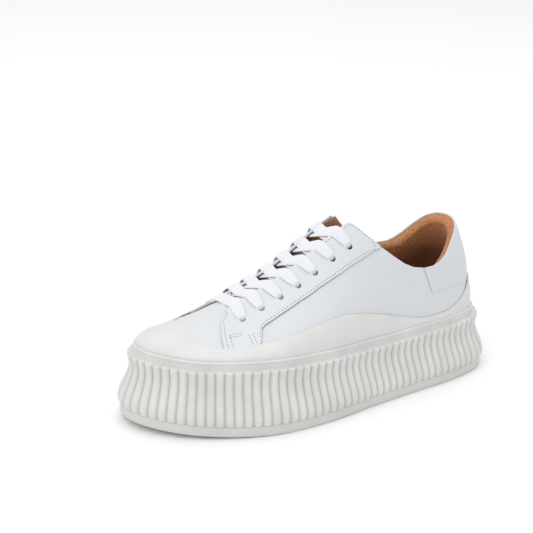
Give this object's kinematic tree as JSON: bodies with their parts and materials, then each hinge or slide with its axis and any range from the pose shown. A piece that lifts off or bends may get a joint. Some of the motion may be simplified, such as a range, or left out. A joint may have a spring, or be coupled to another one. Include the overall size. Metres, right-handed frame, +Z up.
{
  "type": "platform sneaker",
  "caption": "Left low-top lace-up sneaker with a smooth leather upper on a tall, flared platform sole with upright ribs.",
  "frame": {"origin": "centre of the shoe's bounding box in plan, at the floor", "axes": "+Z up, toe towards -Y, outer (lateral) side of this left shoe towards +X"},
  "size_m": [0.1192, 0.2892, 0.1215],
  "materials": {
    "upper_leather": "smooth, semi-matt",
    "tongue_leather": "smooth, semi-matt",
    "footbed": "suede",
    "rand_rubber": "smooth, semi-matt",
    "wall_rubber": "matt, ribbed",
    "outsole_rubber": "matt",
    "lace_cotton": "flat woven"
  },
  "bodies": {
    "root": {"outsole": "outsole_rubber", "midsole": "wall_rubber", "rand": "rand_rubber", "upper": "upper_leather", "tongue": "tongue_leather", "insole": "footbed", "lace_bar": "lace_cotton", "lace_cross_1": "lace_cotton", "lace_cross_2": "lace_cotton", "lace_cross_3": "lace_cotton", "lace_cross_4": "lace_cotton", "lace_cross_5": "lace_cotton", "lace_cross_6": "lace_cotton"}
  },
  "joints": []
}
